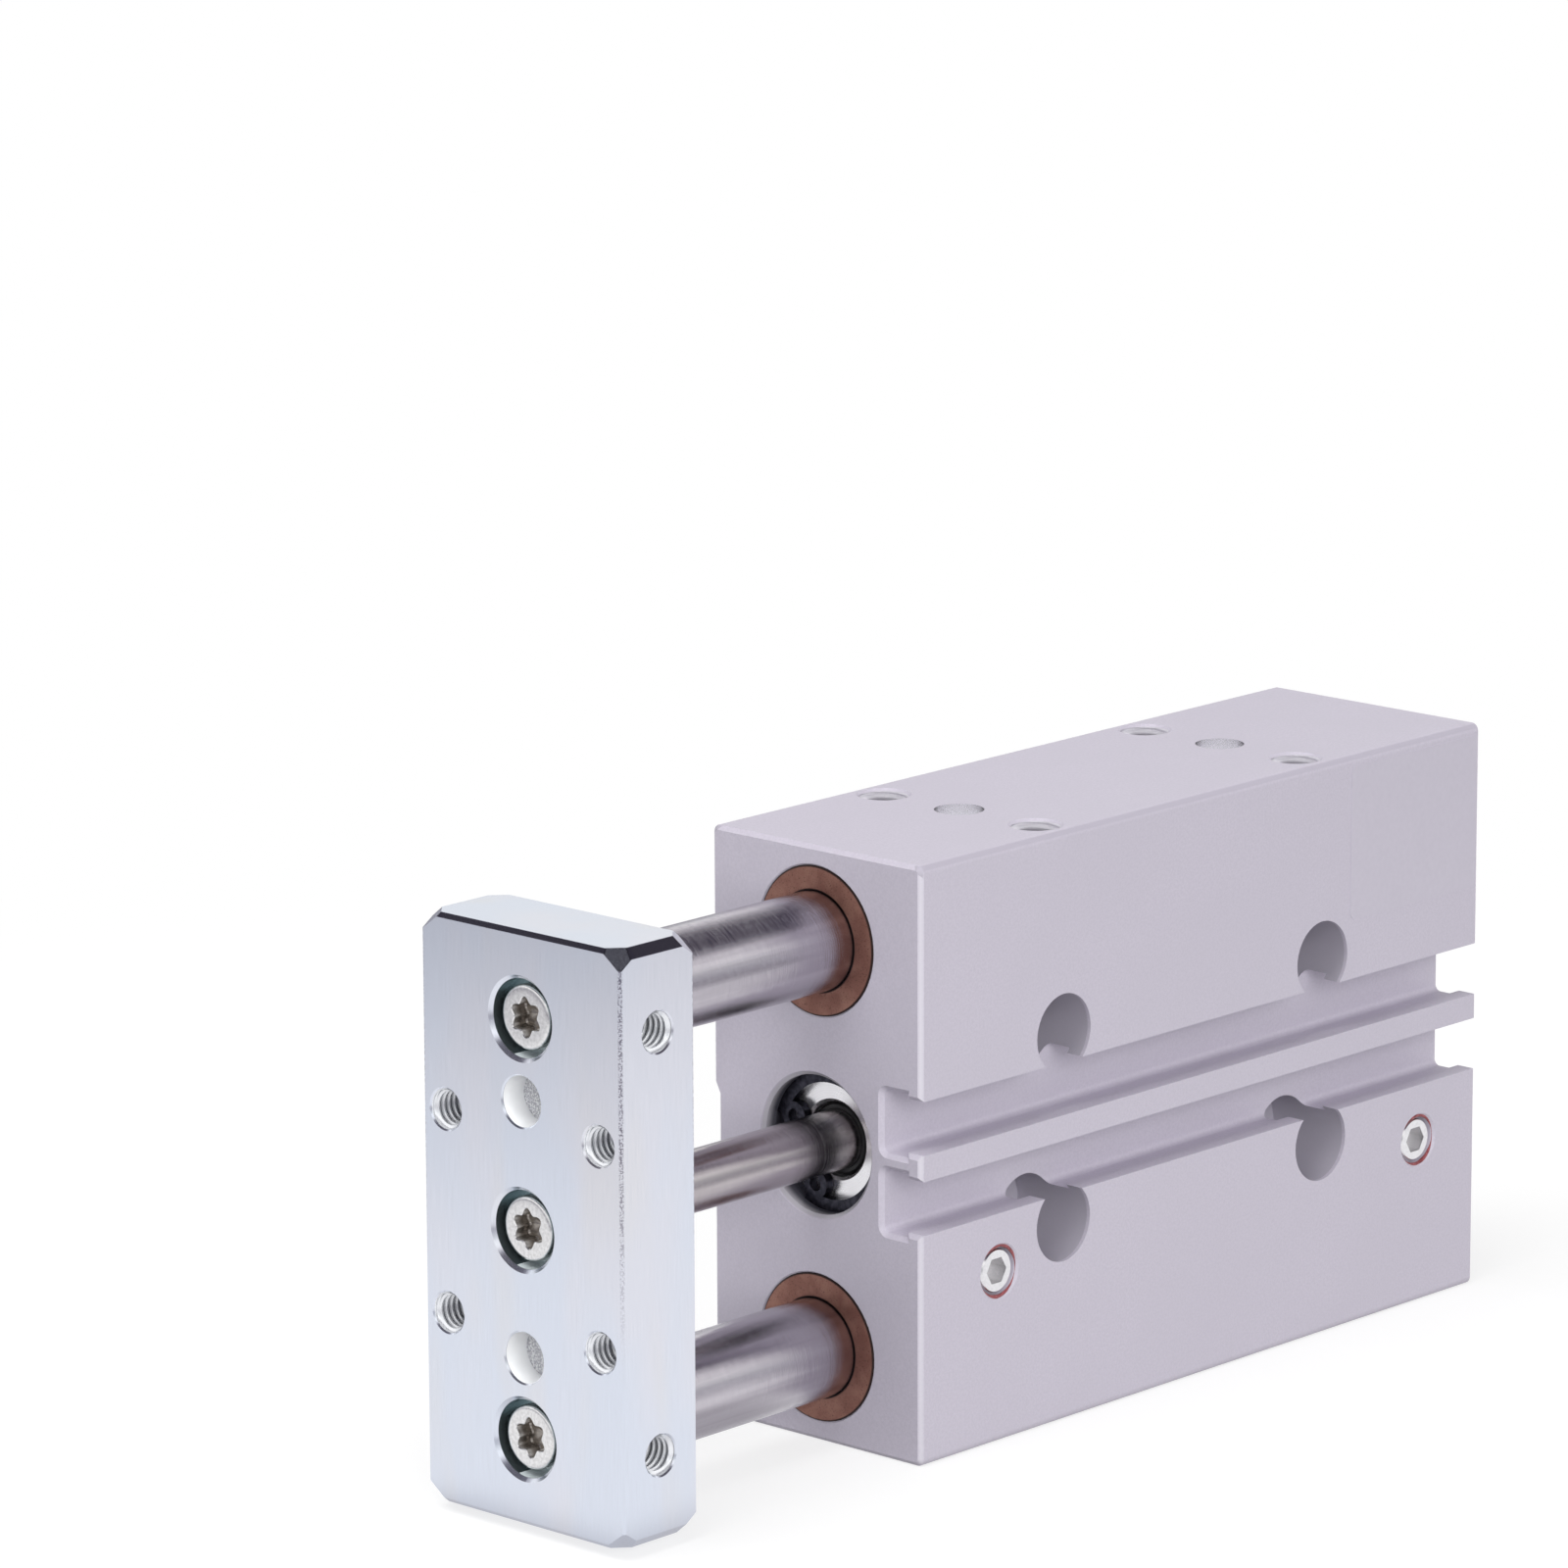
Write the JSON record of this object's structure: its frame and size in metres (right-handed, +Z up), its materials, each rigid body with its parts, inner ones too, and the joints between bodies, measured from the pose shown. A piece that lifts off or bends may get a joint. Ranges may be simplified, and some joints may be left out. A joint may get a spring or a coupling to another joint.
{
  "type": "guided pneumatic cylinder",
  "caption": "Compact guided air cylinder: slotted aluminium housing, two guide rods in bronze bushes, a centre piston rod and a steel yoke plate that slides in and out.",
  "frame": {"origin": "middle of the housing base face", "axes": "+X is the way the rods extend, +Z is up along the tall side of the housing, and the slotted face looks along +Y"},
  "size_m": [0.1272, 0.0274, 0.06],
  "materials": {
    "anodised": "bead-blasted and clear anodised, soft satin",
    "machined_aluminium": "fine turned",
    "bronze": "sintered bronze, oil filled, dull",
    "ground_steel": "hardened and ground, fine polish",
    "plate_steel": "bright zinc plated, finely brushed",
    "spring_steel": "phosphated black spring steel",
    "screw_steel": "bright zinc plated",
    "seal_rubber": "smooth black polyurethane and nitrile",
    "cushion_rubber": "moulded polyurethane",
    "band_plastic": "filled bearing plastic",
    "magnet": "plastic-bonded magnet, dark grey"
  },
  "bodies": {
    "base": {"housing": "anodised", "bush_front_upper": "bronze", "bush_front_lower": "bronze", "bush_rear_upper": "bronze", "bush_rear_lower": "bronze", "rod_gland": "machined_aluminium", "rod_seal": "seal_rubber", "rod_bearing": "bronze", "gland_ring": "seal_rubber", "front_circlip": "spring_steel", "front_cushion": "cushion_rubber", "rear_cap": "machined_aluminium", "rear_ring": "seal_rubber", "rear_circlip": "spring_steel", "rear_cushion": "cushion_rubber", "port_plugs": "screw_steel"},
    "slide": {"yoke_plate": "plate_steel", "yoke_screws": "screw_steel", "piston_rod": "ground_steel", "guide_rod_upper": "ground_steel", "guide_rod_lower": "ground_steel", "piston_front": "machined_aluminium", "piston_rear": "machined_aluminium", "piston_magnet": "magnet", "piston_band": "band_plastic", "piston_seal_front": "seal_rubber", "piston_seal_rear": "seal_rubber", "piston_nut": "screw_steel"}
  },
  "joints": [
    {"name": "plate_slide", "type": "slide", "parent": "base", "child": "slide", "axis": [1, 0, 0], "range_m": [-0.029, 0.021]}
  ]
}
